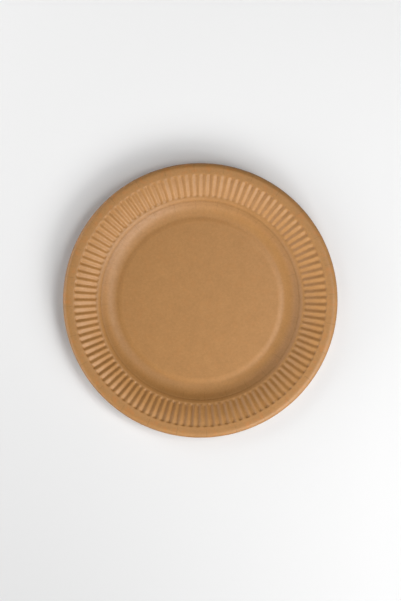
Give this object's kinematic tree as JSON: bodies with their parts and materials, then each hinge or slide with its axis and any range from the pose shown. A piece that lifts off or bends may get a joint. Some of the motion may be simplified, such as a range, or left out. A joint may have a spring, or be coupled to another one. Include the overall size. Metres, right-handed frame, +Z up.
{
  "type": "paper plate",
  "caption": "Round plate pressed from brown kraft board: flat middle, shallow well, scored wall, fluted brow, smooth rim and turned-down lip.",
  "frame": {"origin": "on the table, under the middle of the plate", "axes": "+Z up out of the eating side; +X and +Y are any two diameters at right angles"},
  "size_m": [0.23, 0.23, 0.017],
  "materials": {
    "kraft_board": "uncoated brown kraft board, matt, with fine fibres and soft mottling"
  },
  "bodies": {
    "root": {"plate": "kraft_board"}
  },
  "joints": []
}
